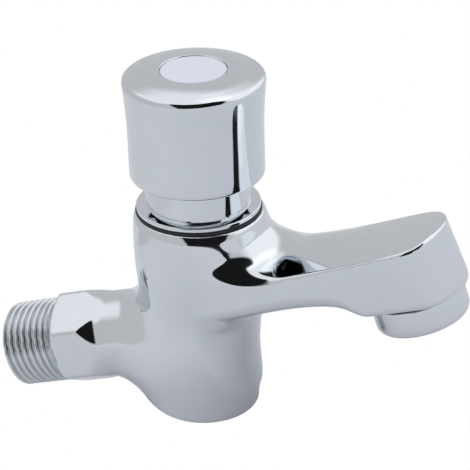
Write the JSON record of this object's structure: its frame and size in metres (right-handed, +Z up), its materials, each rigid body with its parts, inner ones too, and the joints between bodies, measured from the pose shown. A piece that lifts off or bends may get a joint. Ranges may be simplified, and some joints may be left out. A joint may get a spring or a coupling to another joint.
{
  "type": "wall-mounted push tap",
  "caption": "Wall-mounted self-closing tap: cast chromed body with a flat spout and threaded inlet stub, and a push cap that slides down over a sleeve against a spring to open a valve.",
  "frame": {"origin": "centre of the shoulder where the inlet hexagon meets the wall, on the thread's axis", "axes": "+Z up in use; +X from the wall towards the spout's mouth; the thread leaves along -X; +Y completes the frame and Y = 0 is the mirror plane of the casting; the push cap's axis leans 16.7 degrees from +Z towards +X"},
  "size_m": [0.1225, 0.034, 0.0924],
  "materials": {
    "cast_chrome": "bright plated casting, polished by hand",
    "turned_chrome": "bright plated, turned",
    "cap_chrome": "bright plated, turned and polished",
    "stainless_steel": "bright drawn or stamped",
    "raw_brass": "turned, left bare",
    "black_rubber": "moulded, matt",
    "white_plastic": "moulded, matt",
    "grey_plastic": "moulded, matt",
    "pale_disc": "moulded, smooth, left bare"
  },
  "bodies": {
    "tap": {"tap_body": "cast_chrome", "bonnet_sleeve": "turned_chrome", "outlet_nozzle": "turned_chrome", "collar_seal": "black_rubber", "guide_bush": "white_plastic", "return_spring": "stainless_steel", "cartridge_head": "white_plastic", "upper_spindle_seal": "black_rubber", "cartridge_housing": "white_plastic", "lower_spindle_seal": "black_rubber", "cartridge_upper_seal": "black_rubber", "cartridge_lower_seal": "black_rubber", "inlet_strainer": "stainless_steel", "flow_limiter": "grey_plastic", "nozzle_seal": "black_rubber", "flow_straightener": "grey_plastic"},
    "push_button": {"push_cap": "cap_chrome", "index_disc": "pale_disc", "cap_screw": "stainless_steel", "spindle": "raw_brass", "spring_washer": "stainless_steel", "retaining_clip": "stainless_steel", "timing_piston": "white_plastic", "piston_lip_seal": "black_rubber", "metering_pin": "stainless_steel", "piston_clip": "stainless_steel", "valve_carrier": "raw_brass", "valve_washer": "black_rubber", "valve_nut": "raw_brass"}
  },
  "joints": [
    {"name": "push", "type": "slide", "parent": "tap", "child": "push_button", "axis": [-0.2874, 0, -0.9578], "range_m": [0, 0.007], "stiffness_N_per_m": 1200, "springref_m": -0.0067, "deforming": ["return_spring"]}
  ]
}
